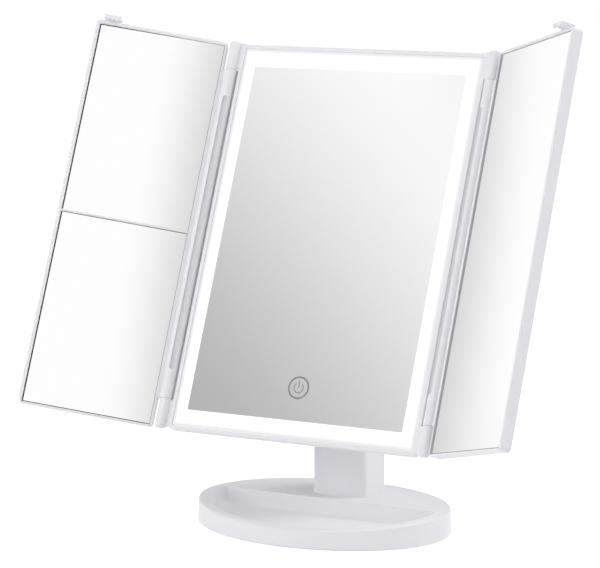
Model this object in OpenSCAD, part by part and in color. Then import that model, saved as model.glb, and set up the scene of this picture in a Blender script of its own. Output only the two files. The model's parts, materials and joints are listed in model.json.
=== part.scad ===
// Trifold vanity mirror: lit centre panel with two folding wings, on a neck and an oval tray base.
// Frame: X across, -Y towards the user, +Z up, origin under the middle of the base.

/* [Centre panel] */
// Width of the centre panel's frame
panel_w = 166; // [150:1:180]
// Height of the centre panel and of both wings
panel_h = 244; // [230:1:260]
// Depth of the frame's straight rim
rim_d = 5.5; // [5:0.5:7]
// Depth of the panel at its flat back
panel_d = 12; // [11:0.5:13]
// Width of the frame's front lip
lip_w = 2.5; // [2:0.1:3.5]
// Corner radius of the panel
panel_r = 3; // [2:0.5:5]
// Width of the clear band at each side of the silvered mirror
mirror_side = 8.85; // [6:0.05:14]
// Clear band below the silvered mirror, from the panel's bottom edge
mirror_low = 13; // [10:0.5:16]
// Clear band above the silvered mirror, from the panel's top edge
mirror_high = 14; // [10:0.5:16]
// Height of the touch key above the panel's bottom edge
touch_v = 33.2; // [28:0.1:45]

/* [Wings] */
// Distance of each hinge axis from the side of the centre panel
hinge_side = 4.8; // [4.4:0.1:5.4]
// Distance of the hinge axis in front of the panel's front plane
hinge_out = 0.4; // [0.3:0.05:0.8]
// Radius of the hinge barrels
barrel_r = 3.4; // [3:0.1:3.6]
// Length of each end knuckle on the centre frame
knuckle_len = 18; // [12:0.5:24]
// Thickness of a wing
wing_t = 6.6; // [6:0.1:8]
// Distance from the hinge axis to the wing's inner edge
wing_in = 4.6; // [4.4:0.1:5]
// Gap between the outer edges of the two wings when both are folded over the panel
wing_gap = 0.4; // [0.3:0.1:6]
// Angle of the left wing in front of flat
left_open = 26.4; // [0:0.1:60]
// Angle of the right wing in front of flat
right_open = 37.4; // [0:0.1:60]

/* [Stand] */
// Half length of the oval base
base_a = 80.4; // [78:0.1:84]
// Half depth of the oval base
base_b = 60; // [58:0.1:63]
// Height of the base's deck above the table
base_top = 15; // [14.8:0.1:16]
// How far the rim comes down from the deck's height to the front of the tray
rim_dip = 4.1; // [0:0.1:4.5]
// Line across the base where the tray ends and the deck begins
deck_y = 6.5; // [5.5:0.1:6.5]
// Height of the tray's floor
tray_z = 5.2; // [5.1:0.1:6.5]
// Half width of the neck
neck_w = 18; // [17:0.5:18]
// Height of the tilt axis above the table
tilt_z = 162.7; // [155:0.1:170]
// Distance of the tilt axis behind the middle of the base
tilt_y = 25; // [24:0.5:26]
// Distance of the tilt axis behind the panel's front plane
tilt_d = 24; // [24:0.5:25]
// Angle by which the panel leans back
lean = 22.8; // [0:0.1:60]

/* [Hidden] */
$fn = 48;
e = 0.01;

// Centre panel, from front to back
glass_in = 0.6;
glass_t = 2;
mirror_shift = -0.35;
mirror_gap = 0.3;
gutter_d = 3.9;
gutter_w = 3.7;
glass_back = glass_in + glass_t;
ledge_t = 1;
ledge_w = 2;
chip_t = 0.8;
board_t = 1;
carrier_d = 5.6;
carrier_t = 0.8;
led_d = carrier_d - board_t;
cover_wall = 1.8;
plate_t = 1.8;
axis_v = panel_h / 2;
win_w = panel_w - 2 * lip_w;
mirror_w = win_w - 2 * mirror_side;
mirror_h = panel_h - mirror_low - mirror_high;
band_mid = (win_w + mirror_w) / 4;
corner_screw_u = panel_w / 2 - 6.4;
corner_screw_v = 6.4;

// Tilt joint
axle_r = 3;
run = 0.05;
ear_in = neck_w + 0.6;
ear_t = 5.9;
ear_r = 8.5;
washer_t = 0.5;
plate_u = 33;
plate_v = 17;
bracket_screw_u = 29;
bracket_screw_v = 11;

// Control board and slide switch
pcb_d = 6.8;
pcb_t = 1.2;
pcb_w = 64;
pcb_v0 = touch_v - 10;
pcb_h = 34;
switch_v = pcb_v0 + 26;
switch_travel = 2.5;
slider_w = 4.6;
slider_h = 3.6;

// Wings: each window is given by its hinge side, outer side, bottom and top
hinge_u = panel_w / 2 + hinge_side;
wing_out = hinge_u - wing_gap / 2;
wing_front = hinge_out;
wing_back = hinge_out + wing_t;
wing_r = 2.5;
left_win = [wing_in + 1.9, wing_out - 2.15, 0.8, panel_h - 2.1];
right_win = [wing_in + 1.6, wing_out - 1.9, 1.4, panel_h - 1.8];
pocket_t = 2.6;
pad_t = 0.3;
glass_sunk = 0.6;
split = 0.2;
barrel_low = knuckle_len + split;
barrel_high = panel_h - knuckle_len + 0.9 - split;
rib_v = panel_h / 2 - 0.8;
rib_w = 1;
groove_r = 1.5;
groove_d = 2.2;
groove_low = 36;
groove_high = panel_h - 34.5;
pin_r = 1.25;
pin_len = 29.4;
hook_s0 = wing_out - 15.1;
hook_w = 10.5;
hook_rise = 1.3;
hook_t = 1.2;
hook_reach = 5.3;

// Base
foot_h = 0.3;
edge_r = 1.2;
draft = 0.4;
wall = 2.4;
cover_t = 2.6;
cover_gap = 0.2;
floor_t = 1.7;
tray_side = 8;
tray_front = 5;
tray_corner = 4;
tray_draft = 0.8;
tray_r = 4.5;
deck_t = 2;
bay_x = 48.5;
bay_y0 = 9.9;
bay_y1 = 31.9;
bay_wall = 1.2;
door_x = 50;
door_y0 = 8.3;
door_y1 = 33.5;
door_t = 1.6;
door_gap = 0.3;
neck_y0 = 15;
neck_y1 = 49;
neck_bow = 32;
neck_corner = 4;
neck_wall = 2.4;
neck_foot = 2.9;
head_r = tilt_y - neck_y0;
ring_w = 4.4;

white = "white";
steel = "silver";

// ---- Shapes used more than once ----

// Rectangle centred on X, standing on y = v0, with round corners
module round_rect(w, v0, v1, r) {
    translate([-w / 2 + r, v0]) square([w - 2 * r, v1 - v0]);
    translate([-w / 2, v0 + r]) square([w, v1 - v0 - 2 * r]);
    for (x = [-w / 2 + r, w / 2 - r], y = [v0 + r, v1 - r])
        translate([x, y]) circle(r);
}

// Stands an outline drawn in X and height up as a slab between two depths
module upright(d0, d1) {
    translate([0, d1, 0]) rotate([90, 0, 0]) linear_extrude(d1 - d0) children();
}

// Slab with a round-cornered outline and a soft front edge
module soft_slab(w, v0, v1, d0, d1, r, soft) {
    hull() {
        upright(d0, d0 + e) round_rect(w - 2 * soft, v0 + soft, v1 - soft, r - soft / 2);
        upright(d0 + soft * 0.3, d0 + soft * 0.3 + e)
            round_rect(w - 0.6 * soft, v0 + soft * 0.3, v1 - soft * 0.3, r);
        upright(d0 + soft, d1) round_rect(w, v0, v1, r);
    }
}

// Rectangular ring between two depths
module ring_slab(w0, a0, b0, w1, a1, b1, d0, d1, r) {
    upright(d0, d1) difference() {
        round_rect(w0, a0, b0, r);
        translate([-w1 / 2, a1]) square([w1, b1 - a1]);
    }
}

// Screw along -Z with its head's top at the origin
module screw(head_r, head_t, r, len) {
    translate([0, 0, -head_t]) cylinder(r = head_r, h = head_t);
    translate([0, 0, -len]) cylinder(r = r, h = len - head_t + e);
}

// Screw driven from behind: its head's back face lies at depth d
module rear_screw(u, v, d, head_r, head_t, r, len) {
    translate([u, d, v]) rotate([-90, 0, 0]) screw(head_r, head_t, r, len);
}

// Round hole through the panel between two depths
module depth_hole(u, v, d0, d1, r) {
    translate([u, d0, v]) rotate([-90, 0, 0]) cylinder(r = r, h = d1 - d0);
}

// Coil of round wire on +Z
module coil(r, wire, len, turns) {
    ring = 12;
    sides = 6;
    last = turns * ring;
    pts = [for (i = [0 : last], j = [0 : sides - 1])
        let (a = 360 * i / ring, b = 360 * j / sides, q = r + wire * cos(b))
        [q * cos(a), q * sin(a), wire + (len - 2 * wire) * i / last + wire * sin(b)]];
    walls = [for (i = [0 : last - 1], j = [0 : sides - 1])
        let (k = (j + 1) % sides, p = i * sides)
        each [[p + j, p + k, p + sides + j], [p + k, p + sides + k, p + sides + j]]];
    ends = [[for (j = [sides - 1 : -1 : 0]) j], [for (j = [0 : sides - 1]) last * sides + j]];
    polyhedron(pts, concat(walls, ends));
}

// Oval of the base, drawn inwards by t
function oval(t) = ellipse(base_a - t, base_b - t);
function ellipse(a, b) = [for (i = [0 : 95]) [a * cos(i * 3.75), b * sin(i * 3.75)]];

// Height of the rim's top: level behind the middle, and lower towards the user
function rim_top(y) = base_top - rim_dip * pow(min(y, 0) / base_b, 2);

// Outline of the tray, drawn inwards by t: an oval cut off at the line y = deck_y - t, with round corners
module tray_outline(t) {
    offset(r = tray_corner, $fn = 24) offset(delta = -tray_corner) intersection() {
        polygon(ellipse(base_a - tray_side - t, base_b - tray_front - t));
        translate([-base_a, -base_b]) square([2 * base_a, base_b + deck_y - t]);
    }
}

// Flat outline of the neck, grown outwards by g: a bowed front with round corners and a flat rear
module neck_outline(g) {
    bow_y = neck_y0 + neck_bow;
    cx = neck_w - neck_corner;
    cy = bow_y - sqrt(pow(neck_bow - neck_corner, 2) - cx * cx);
    k = 2;
    for (s = [-1, 1]) {
        translate([s * cx, cy]) circle(neck_corner + g);
        translate([s * cx, neck_y1 - neck_corner]) circle(neck_corner + g);
    }
    intersection() {
        translate([0, bow_y]) circle(neck_bow + g, $fn = 96);
        polygon([[0, bow_y], [-cx * k, bow_y + (cy - bow_y) * k], [cx * k, bow_y + (cy - bow_y) * k]]);
    }
    translate([-neck_w - g, cy]) square([2 * (neck_w + g), neck_y1 - neck_corner - cy]);
    translate([-cx, cy]) square([2 * cx, neck_y1 + g - cy]);
}

// ---- Places ----

// Panel frame: x across, y behind the front plane, z up from the panel's bottom edge
module on_panel() {
    translate([0, tilt_y, tilt_z]) rotate([-lean, 0, 0]) translate([0, -tilt_d, -axis_v]) children();
}

// Wing frame: x outwards from the hinge axis, y to the back, z up from the panel's bottom edge
module on_wing(side) {
    open = side < 0 ? left_open : right_open;
    on_panel() mirror([side < 0 ? 1 : 0, 0, 0])
        translate([hinge_u, -hinge_out, 0]) rotate([0, 0, -open]) children();
}

// ---- Base ----

// Outside of the base, as rings of the oval from the foot to the soft edge of the dipping rim
module base_body() {
    n = 96;
    foot = [for (s = [[0.5, 0], [0, 0.6]]) [for (p = oval(s[0])) [p[0], p[1], foot_h + s[1]]]];
    edge = [for (a = [0 : 30 : 90]) [for (p = oval(draft + edge_r * (1 - cos(a))))
        [p[0], p[1], rim_top(p[1]) - edge_r * (1 - sin(a))]]];
    rings = concat(foot, edge);
    top = n * (len(rings) - 1);
    walls = [for (k = [0 : len(rings) - 2], i = [0 : n - 1])
        let (j = (i + 1) % n, p = k * n)
        each [[p + i, p + n + i, p + j], [p + j, p + n + i, p + n + j]]];
    lid = [for (i = [-23 : 22]) [for (j = [i, 48 - i, 47 - i, i + 1]) top + (j + n) % n]];
    tips = [[72, 71, 73], [23, 25, 24]];
    polyhedron([for (r = rings) each r],
        concat(walls, lid, [[for (i = [0 : n - 1]) i]], [for (t = tips) [for (j = t) top + j]]));
}

module tray_pocket() {
    hull() {
        translate([0, 0, base_top + 1]) linear_extrude(e) tray_outline(-0.1);
        for (a = [0 : 15 : 90])
            translate([0, 0, tray_z + tray_r * (1 - cos(a))])
                linear_extrude(e) tray_outline(tray_r * (1 - sin(a)) + tray_draft);
    }
}

module base_shell() color(white) {
    boss_h = base_top - deck_t - foot_h - cover_t;
    difference() {
        base_body();
        tray_pocket();
        translate([0, 0, -e]) linear_extrude(tray_z - floor_t + e) polygon(oval(draft + wall));
        translate([0, 0, foot_h]) linear_extrude(base_top - deck_t - foot_h) intersection() {
            polygon(oval(draft + wall));
            translate([-base_a, deck_y + deck_t]) square([2 * base_a, base_b]);
        }
        for (x = [-10, 10]) translate([x, 40, 0]) cylinder(r = 1.7, h = base_top + 1);
        translate([-4.2, base_b - 8, foot_h + cover_t + 0.9]) cube([8.4, 12, 3.3]);
    }
    for (s = screw_spots) translate([s[0], s[1], foot_h + cover_t]) difference() {
        cylinder(r = 3, h = boss_h + e);
        translate([0, 0, -e]) cylinder(r = 1.1, h = 8);
    }
}
screw_spots = [[-58, 22], [58, 22], [-22, 42.5], [22, 42.5]];

module base_cover() color(white) {
    difference() {
        union() {
            translate([0, 0, foot_h]) linear_extrude(cover_t) polygon(oval(draft + wall + cover_gap));
            translate([-bay_x - bay_wall, bay_y0 - bay_wall, foot_h + cover_t - e])
                cube([2 * (bay_x + bay_wall), bay_y1 - bay_y0 + 2 * bay_wall,
                      base_top - deck_t - foot_h - cover_t - 0.1]);
            translate([-5, base_b - 12.4, foot_h + cover_t - e]) cube([10, 7.6, 1.2]);
        }
        translate([-bay_x, bay_y0, 0]) cube([2 * bay_x, bay_y1 - bay_y0, base_top]);
        translate([-door_x - door_gap, door_y0 - door_gap, 0])
            cube([2 * (door_x + door_gap), door_y1 - door_y0 + 2 * door_gap, foot_h + door_t + 0.1]);
        translate([0, 0, -e]) linear_extrude(foot_h + 1) difference() {
            polygon(oval(draft + wall + 1.3));
            polygon(oval(draft + wall + 1.3 + ring_w));
        }
        for (s = screw_spots) translate([s[0], s[1], 0]) {
            cylinder(r = 1.5, h = 6);
            cylinder(r = 2.9, h = foot_h + 1.4);
        }
    }
}

module anti_slip_ring() color("gainsboro") {
    linear_extrude(foot_h + 0.99) difference() {
        polygon(oval(draft + wall + 1.35));
        polygon(oval(draft + wall + 1.25 + ring_w));
    }
}

module base_screws() color(steel) {
    for (s = screw_spots) translate([s[0], s[1], foot_h + 0.2]) mirror([0, 0, 1]) screw(2.6, 1.2, 1.1, 9);
}

module battery_door() color(white) {
    difference() {
        translate([-door_x, door_y0, foot_h]) cube([2 * door_x, door_y1 - door_y0, door_t]);
        translate([0, door_y1 - 3.5, foot_h - e]) linear_extrude(0.6) {
            translate([-6, -1.4]) square([12, 2.8]);
            for (x = [-6, 6]) translate([x, 0]) circle(1.4);
        }
    }
    for (i = [-2 : 2])
        translate([i * 18 - 0.6, bay_y0 + 1, foot_h + door_t - e]) cube([1.2, bay_y1 - bay_y0 - 2, 0.4]);
}

module battery_contacts() color(steel) {
    row = (bay_y1 - bay_y0) / 4;
    for (s = [-1, 1], t = [-1, 1])
        translate([s * (bay_x - 0.2) - 0.2, (bay_y0 + bay_y1) / 2 + t * row - 4.5, foot_h + 3.2])
            cube([0.4, 9, 8.6]);
    for (s = [-1, 1])
        translate([s * (bay_x - 0.3), (bay_y0 + bay_y1) / 2 + s * row, foot_h + 7.4])
            rotate([0, -90 * s, 0]) coil(2.8, 0.3, 5, 4);
}

module usb_socket() color(steel) {
    translate([-3.8, base_b - 10.6, foot_h + cover_t + 1.2 - e]) difference() {
        cube([7.6, 5.6, 2.7]);
        translate([0.4, 2, 0.4]) cube([6.8, 4, 1.9]);
    }
    translate([-2.6, base_b - 9, foot_h + cover_t + 2.3]) cube([5.2, 3.6, 0.6]);
}

// ---- Neck and tilt joint ----

// Side view of the neck: straight, with a head rounded about the tilt axis
module neck_profile() {
    rotate([90, 0, 90]) translate([0, 0, -neck_w - 1]) linear_extrude(2 * neck_w + 2) {
        polygon([[0, 0], [neck_y1 + 1, 0], [neck_y1 + 1, tilt_z - 18], [neck_y1 - 6, tilt_z - 3],
                 [tilt_y + head_r * cos(55), tilt_z + head_r * sin(55)],
                 [neck_y0, tilt_z], [0, tilt_z]]);
        translate([tilt_y, tilt_z]) circle(head_r, $fn = 64);
    }
}

module neck_shell() color(white) {
    hollow_top = tilt_z - 13;
    difference() {
        union() {
            intersection() {
                translate([0, 0, base_top]) linear_extrude(tilt_z) neck_outline(0);
                neck_profile();
            }
            for (c = [[0.5, 0.6], [0.25, 1]])
                translate([0, 0, base_top]) linear_extrude(c[1]) neck_outline(c[0]);
        }
        difference() {
            translate([0, 0, base_top + neck_foot]) linear_extrude(hollow_top - base_top - neck_foot)
                intersection() {
                    neck_outline(-neck_wall);
                    translate([-neck_w, 0]) square([2 * neck_w, neck_y1 - neck_wall]);
                }
            for (x = [-10, 10]) translate([x, 40, base_top]) cylinder(r = 3.2, h = 16);
            for (z = neck_screw_z) translate([0, neck_y0 + 2, z]) rotate([-90, 0, 0]) cylinder(r = 3, h = 26);
        }
        translate([-14.2, neck_y1 - neck_wall - e, 23.8]) cube([28.4, 6, 116.4]);
        translate([-12.6, neck_y1 - 8, 25.4]) cube([25.2, 9, 113.2]);
        for (x = [-10, 10]) translate([x, 40, 0]) cylinder(r = 1.2, h = 28);
        for (z = neck_screw_z) translate([0, neck_y1 - 20, z]) rotate([-90, 0, 0]) cylinder(r = 1.1, h = 20);
        translate([-neck_w - 1, tilt_y, tilt_z]) rotate([0, 90, 0]) cylinder(r = axle_r, h = 2 * neck_w + 2);
    }
}
neck_screw_z = [36, 128];

module neck_cover() color(white) {
    difference() {
        translate([-14, neck_y1 - neck_wall, 24]) cube([28, neck_wall - 0.1, 116]);
        for (z = neck_screw_z) translate([0, neck_y1 - 4, z]) rotate([-90, 0, 0]) {
            cylinder(r = 1.5, h = 5);
            translate([0, 0, 2.5]) cylinder(r = 2.7, h = 3);
        }
    }
}

module neck_cover_screws() color(steel) {
    for (z = neck_screw_z) translate([0, neck_y1 - 0.3, z]) rotate([-90, 0, 0]) screw(2.4, 1.2, 1.1, 12);
}

module neck_foot_screws() color(steel) {
    for (x = [-10, 10]) translate([x, 40, base_top - deck_t - 1.6]) mirror([0, 0, 1]) screw(2.8, 1.6, 1.2, 15);
}

module tilt_axle() color(steel) {
    translate([0, tilt_y, tilt_z]) rotate([0, 90, 0]) {
        translate([0, 0, -ear_in - ear_t - 0.3]) cylinder(r = axle_r, h = 2 * (ear_in + ear_t) + 3.2);
        translate([0, 0, -ear_in - ear_t - 2.2]) cylinder(r = 5, h = 2);
    }
}

module axle_clip() color(steel) {
    translate([ear_in + ear_t + 0.2, tilt_y, tilt_z]) rotate([0, 90, 0]) difference() {
        cylinder(r = 5.5, h = 1.2);
        translate([0, 0, -1]) cylinder(r = axle_r, h = 4);
    }
}

module friction_washers() color("dimgray") {
    for (s = [-1, 1])
        translate([s * (neck_w + washer_t / 2), tilt_y, tilt_z]) rotate([0, 90, 0]) difference() {
            cylinder(r = 8, h = washer_t, center = true);
            cylinder(r = axle_r + run, h = 2, center = true);
        }
}

module tilt_bracket() color(white) on_panel() {
    upright(panel_d - plate_t, panel_d) difference() {
        round_rect(2 * plate_u, axis_v - plate_v, axis_v + plate_v, 3);
        for (x = [-1, 1], y = [-1, 1])
            translate([x * bracket_screw_u, axis_v + y * bracket_screw_v]) circle(1.6);
    }
    for (s = [-1, 1]) translate([s > 0 ? ear_in : -ear_in - ear_t, 0, 0])
        rotate([90, 0, 90]) linear_extrude(ear_t) difference() {
            union() {
                translate([tilt_d, axis_v]) circle(ear_r);
                polygon([[panel_d - e, axis_v - 13], [tilt_d, axis_v - ear_r],
                         [tilt_d, axis_v + ear_r], [panel_d - e, axis_v + 13]]);
            }
            translate([tilt_d, axis_v]) circle(axle_r + run);
        }
}

module bracket_screws() color(steel) on_panel() {
    for (x = [-1, 1], y = [-1, 1])
        rear_screw(x * bracket_screw_u, axis_v + y * bracket_screw_v, panel_d + 1.4, 2.7, 1.4, 1.4, 7.4);
}

// ---- Centre panel ----

module hinge_knuckle(v0, v1, round_top) {
    c = 1.2;
    low = round_top ? 0.4 : c;
    high = round_top ? c : 0.4;
    translate([hinge_u, -hinge_out, v0]) rotate_extrude($fn = 64) polygon(concat(
        [[0, 0], [barrel_r - low, 0]],
        [for (a = [-60 : 30 : 0]) [barrel_r - low + low * cos(a), low + low * sin(a)]],
        [for (a = [0 : 30 : 60]) [barrel_r - high + high * cos(a), v1 - v0 - high + high * sin(a)]],
        [[barrel_r - high, v1 - v0], [0, v1 - v0]]));
    translate([panel_w / 2 - 1.5, 0, v0 + c])
        cube([hinge_u - panel_w / 2 + 1.5, 2.6, v1 - v0 - c - 0.4]);
}

module panel_bezel() color(white) on_panel() difference() {
    union() {
        difference() {
            soft_slab(panel_w, 0, panel_h, 0, rim_d, panel_r, 0.7);
            upright(-1, glass_back) round_rect(win_w, lip_w, panel_h - lip_w, 1);
            upright(glass_back - e, glass_back + ledge_t + 1)
                round_rect(win_w - 2 * ledge_w, lip_w + ledge_w, panel_h - lip_w - ledge_w, 1);
            upright(glass_back + ledge_t, rim_d + 1) difference() {
                round_rect(win_w, lip_w, panel_h - lip_w, 1);
                for (x = [-1, 1], y = [-1, 1])
                    translate([x * corner_screw_u, axis_v + y * (axis_v - corner_screw_v)]) circle(3.2);
            }
        }
        for (m = [0, 1]) mirror([m, 0, 0]) {
            hinge_knuckle(0, knuckle_len, false);
            hinge_knuckle(barrel_high + split, panel_h + 0.9, true);
            translate([panel_w / 2 - 1, gutter_d, barrel_low - split - 1])
                cube([gutter_w + 1, rim_d - gutter_d, barrel_high - barrel_low + 2 * split + 2]);
        }
    }
    for (s = [-1, 1]) translate([s * hinge_u, -hinge_out, 0]) {
        translate([0, 0, -1]) cylinder(r = pin_r, h = knuckle_len + 2);
        translate([0, 0, barrel_high - 1]) cylinder(r = pin_r, h = panel_h - 0.2 - barrel_high);
    }
    for (x = [-1, 1], y = [-1, 1])
        depth_hole(x * corner_screw_u, axis_v + y * (axis_v - corner_screw_v), 3, rim_d + 1, 1.1);
}

module centre_mirror() color("lightgray") on_panel()
    upright(glass_in, glass_back) translate([mirror_shift - mirror_w / 2, mirror_low]) square([mirror_w, mirror_h]);

module light_diffuser() color("white") on_panel() upright(glass_in, glass_back) difference() {
    round_rect(win_w - 2 * mirror_gap, lip_w + mirror_gap, panel_h - lip_w - mirror_gap, 1.2);
    translate([mirror_shift - mirror_w / 2, mirror_low]) square([mirror_w, mirror_h]);
}

module led_board() color("whitesmoke") on_panel() difference() {
    ring_slab(win_w - 4.4, lip_w + 2.2, panel_h - lip_w - 2.2, mirror_w - 2.2, mirror_low + 1.1,
              panel_h - mirror_high - 1.1, led_d, carrier_d, 1);
    for (x = [-1, 1], y = [-1, 1])
        depth_hole(x * corner_screw_u, axis_v + y * (axis_v - corner_screw_v), led_d - 1, carrier_d + 1, 3.4);
}

// Chips in four rows behind the band
side_chips = 20;
end_chips = 12;
module led_chips() color("lightyellow") on_panel() {
    low = (lip_w + mirror_low) / 2;
    high = panel_h - (lip_w + mirror_high) / 2;
    for (s = [-1, 1], i = [0 : side_chips - 1])
        translate([s * band_mid - 1.4, led_d - chip_t, low + 9 + i * (high - low - 18) / (side_chips - 1) - 1.7])
            cube([2.8, chip_t, 3.4]);
    for (v = [low, high], i = [0 : end_chips - 1])
        translate([-band_mid + 9 + i * (2 * band_mid - 18) / (end_chips - 1) - 1.7, led_d - chip_t, v - 1.4])
            cube([3.4, chip_t, 2.8]);
}

module mirror_carrier() color(white) on_panel() {
    inner_w = mirror_w - 3.6;
    v0 = mirror_low + 1.8;
    v1 = panel_h - mirror_high - 1.8;
    difference() {
        union() {
            upright(carrier_d, carrier_d + carrier_t) round_rect(win_w - 3.4, lip_w + 1.7, panel_h - lip_w - 1.7, 4);
            ring_slab(inner_w, v0, v1, inner_w - 2.8, v0 + 1.4, v1 - 1.4, glass_back, carrier_d + e, 1);
            for (x = [-45, -15, 15, 45])
                translate([x - 0.6, glass_back, v0]) cube([1.2, carrier_d - glass_back + e, v1 - v0]);
            for (v = [60, 110, 134, 184])
                translate([-inner_w / 2, glass_back, v - 0.6]) cube([inner_w, carrier_d - glass_back + e, 1.2]);
            for (x = [-1, 1], y = [-1, 1])
                depth_hole(x * bracket_screw_u, axis_v + y * bracket_screw_v,
                           carrier_d, panel_d - plate_t - cover_wall, 3);
            for (x = [-1, 1], y = [3, pcb_h - 3])
                depth_hole(x * (pcb_w / 2 - 3), pcb_v0 + y, carrier_d, pcb_d, 2);
        }
        depth_hole(0, touch_v, 0, panel_d, 4.5);
        for (x = [-1, 1], y = [-1, 1]) {
            depth_hole(x * bracket_screw_u, axis_v + y * bracket_screw_v, carrier_d - 1, panel_d, 1.4);
            depth_hole(x * corner_screw_u, axis_v + y * (axis_v - corner_screw_v), 5, panel_d, 1.6);
        }
    }
}

module control_board() color("seagreen") on_panel() {
    translate([-pcb_w / 2, pcb_d, pcb_v0]) cube([pcb_w, pcb_t, pcb_h]);
    translate([-20, pcb_d + pcb_t - e, pcb_v0 + 6]) cube([6, 1.4, 5]);
    translate([12, pcb_d + pcb_t - e, pcb_v0 + 5]) cube([4, 1.2, 8]);
    for (x = [-27, -24]) translate([x, pcb_d + pcb_t - e, pcb_v0 + 24]) cube([1.6, 0.8, 3.2]);
}

module touch_spring() color(steel) on_panel()
    translate([0, glass_back, touch_v]) rotate([-90, 0, 0]) coil(3, 0.35, pcb_d - glass_back, 4);

module switch_housing() color("dimgray") on_panel()
    translate([-5, pcb_d + pcb_t, switch_v - 2.6]) cube([10, 2, 5.2]);

// The slider is drawn in its on position, at the right end of its slot
module switch_slider() color("black") on_panel() {
    cx = switch_travel / 2;
    translate([cx - slider_w / 2, pcb_d + pcb_t + 2.05, switch_v - slider_h / 2])
        cube([slider_w, panel_d + 0.8 - pcb_d - pcb_t - 2.05, slider_h]);
    for (i = [-1 : 1])
        translate([cx + i * 1.3 - 0.25, panel_d + 0.8 - e, switch_v - slider_h / 2]) cube([0.5, 0.35, slider_h]);
}

module rear_cover() color(white) on_panel() difference() {
    union() {
        difference() {
            hull() for (s = [[rim_d, 0.3], [rim_d + 1.2, 0.8], [rim_d + 3, 3.2], [rim_d + 4.7, 8],
                             [panel_d - 0.6, 13], [panel_d - e, 21]])
                upright(s[0], s[0] + e)
                    round_rect(panel_w - 2 * s[1], s[1], panel_h - s[1], panel_r + s[1] / 2);
            hull() for (s = [[rim_d - 1, 2.6], [rim_d + 1.4, 4.4], [rim_d + 3.2, 10], [panel_d - cover_wall, 22]])
                upright(s[0] - e, s[0])
                    round_rect(panel_w - 2 * s[1], s[1], panel_h - s[1], panel_r + s[1] / 3);
        }
        translate([-plate_u - 2, panel_d - plate_t - cover_wall, axis_v - plate_v - 2])
            cube([2 * plate_u + 4, cover_wall + 1, 2 * plate_v + 4]);
        for (x = [-1, 1], y = [-1, 1])
            depth_hole(x * corner_screw_u, axis_v + y * (axis_v - corner_screw_v), carrier_d + carrier_t, 9, 3.4);
    }
    upright(panel_d - plate_t, panel_d + 1)
        round_rect(2 * plate_u + 0.3, axis_v - plate_v - 0.15, axis_v + plate_v + 0.15, 3);
    for (x = [-1, 1], y = [-1, 1]) {
        depth_hole(x * bracket_screw_u, axis_v + y * bracket_screw_v, 5, panel_d, 1.6);
        depth_hole(x * corner_screw_u, axis_v + y * (axis_v - corner_screw_v), 5, panel_d, 1.5);
        depth_hole(x * corner_screw_u, axis_v + y * (axis_v - corner_screw_v), 8.2, panel_d + 1, 2.7);
    }
    slot = slider_w + switch_travel + 0.4;
    translate([-slot / 2, 5, switch_v - slider_h / 2 - 0.2]) cube([slot, panel_d, slider_h + 0.4]);
}

module rear_cover_screws() color(steel) on_panel() {
    for (x = [-1, 1], y = [-1, 1])
        rear_screw(x * corner_screw_u, axis_v + y * (axis_v - corner_screw_v), 9.4, 2.4, 1.2, 1.1, 6.2);
}

module hinge_pins() {
    translate([hinge_u, -hinge_out, 0.6]) cylinder(r = pin_r, h = pin_len);
    translate([hinge_u, -hinge_out, panel_h - 0.6 - pin_len]) cylinder(r = pin_r, h = pin_len - 0.6);
}

module left_hinge_pins() color(steel) on_panel() mirror([1, 0, 0]) hinge_pins();

module right_hinge_pins() color(steel) on_panel() hinge_pins();

// ---- Wings ----

module latch_hook() {
    base_v = panel_h - 1;
    top_v = panel_h + hook_rise + hook_t;
    tip = wing_front - hook_reach;
    translate([hook_s0, wing_front + 0.4, base_v]) cube([hook_w, 3, top_v - base_v]);
    translate([hook_s0, tip, panel_h + hook_rise]) cube([hook_w, hook_reach + 2, hook_t]);
    translate([hook_s0, tip, panel_h + 0.3]) cube([hook_w, 1.2, hook_rise + hook_t - 0.3]);
}

module wing_frame(win, ribs) {
    mid = (wing_in + wing_out) / 2;
    edges = concat([win[2]], ribs, [win[3]]);
    difference() {
        union() {
            translate([mid, 0, 0])
                soft_slab(wing_out - wing_in, 0, panel_h, wing_front, wing_back, wing_r, 0.6);
            translate([0, 0, barrel_low]) cylinder(r = barrel_r, h = barrel_high - barrel_low, $fn = 64);
            translate([0, 0.6, barrel_low]) cube([wing_in + 1, 3, barrel_high - barrel_low]);
            latch_hook();
        }
        for (i = [0 : len(edges) - 2])
            translate([win[0], wing_front - 1, edges[i] + (i > 0 ? rib_w / 2 : 0)])
                cube([win[1] - win[0], 1 + pocket_t,
                      edges[i + 1] - edges[i] - (i > 0 ? rib_w / 2 : 0)
                      - (i < len(edges) - 2 ? rib_w / 2 : 0)]);
        translate([mid, 0, 0]) upright(wing_back - 2, wing_back + 1)
            round_rect(wing_out - wing_in - 4, 2, panel_h - 2, 1);
        for (v = [barrel_low - 1, panel_h - 0.8 - pin_len])
            translate([0, 0, v]) cylinder(r = pin_r + run, h = v > axis_v ? 40 : pin_len - v + 1.2);
        upright(-barrel_r - 1, groove_d - barrel_r) {
            translate([-groove_r, groove_low + groove_r]) square([2 * groove_r, groove_high - groove_low - 2 * groove_r]);
            for (v = [groove_low + groove_r, groove_high - groove_r]) translate([0, v]) circle(groove_r);
        }
    }
}

module wing_back_panel() {
    translate([(wing_in + wing_out) / 2, 0, 0]) upright(wing_back - 2, wing_back)
        round_rect(wing_out - wing_in - 4.2, 2.1, panel_h - 2.1, 0.95);
}

// Glass in its window, from the hinge side s0 to s1, with a top edge that comes down from v1 to v2
module wing_glass(s0, s1, v0, v1, v2) {
    upright(wing_front + glass_sunk, wing_front + pocket_t - pad_t)
        polygon([[s0, v0], [s1, v0], [s1, v2], [s0, v1]]);
}

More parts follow.
